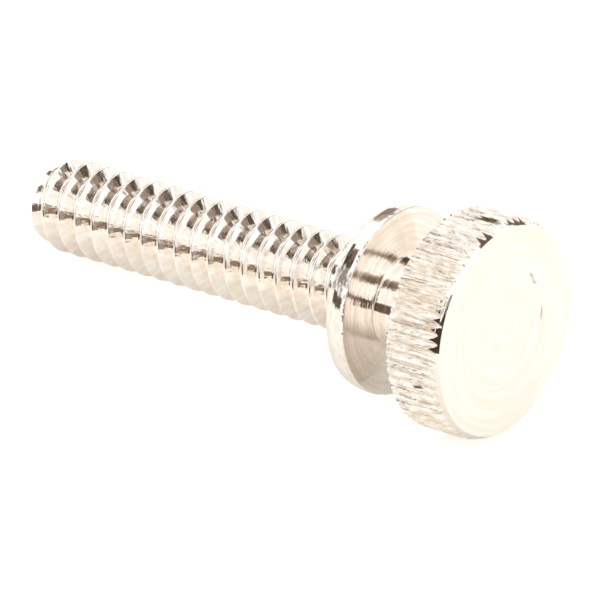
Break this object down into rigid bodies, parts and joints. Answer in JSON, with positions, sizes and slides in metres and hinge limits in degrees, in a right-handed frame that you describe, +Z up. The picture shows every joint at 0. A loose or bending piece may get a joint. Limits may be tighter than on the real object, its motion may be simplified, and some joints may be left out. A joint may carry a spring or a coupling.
{
  "type": "thumb screw",
  "caption": "Knurled thumb screw: a threaded shank, a round collar that bears on the work, a slimmer neck and a cylindrical head with straight knurling. It lies on its side.",
  "frame": {"origin": "on the surface that the screw lies on, under the middle of its outer box", "axes": "+X from the threaded tip towards the head, level; +Z up. The screw's own axis leans 7.7 degrees above +X, because it rests on the rim of its head and on the last full thread at its tip."},
  "size_m": [0.029, 0.0112, 0.0115],
  "materials": {
    "nickel_plate": "bright nickel plate, polished on the neck, with fine turning marks on the collar and on the head's end face"
  },
  "bodies": {
    "root": {"thumb_screw": "nickel_plate"}
  },
  "joints": []
}
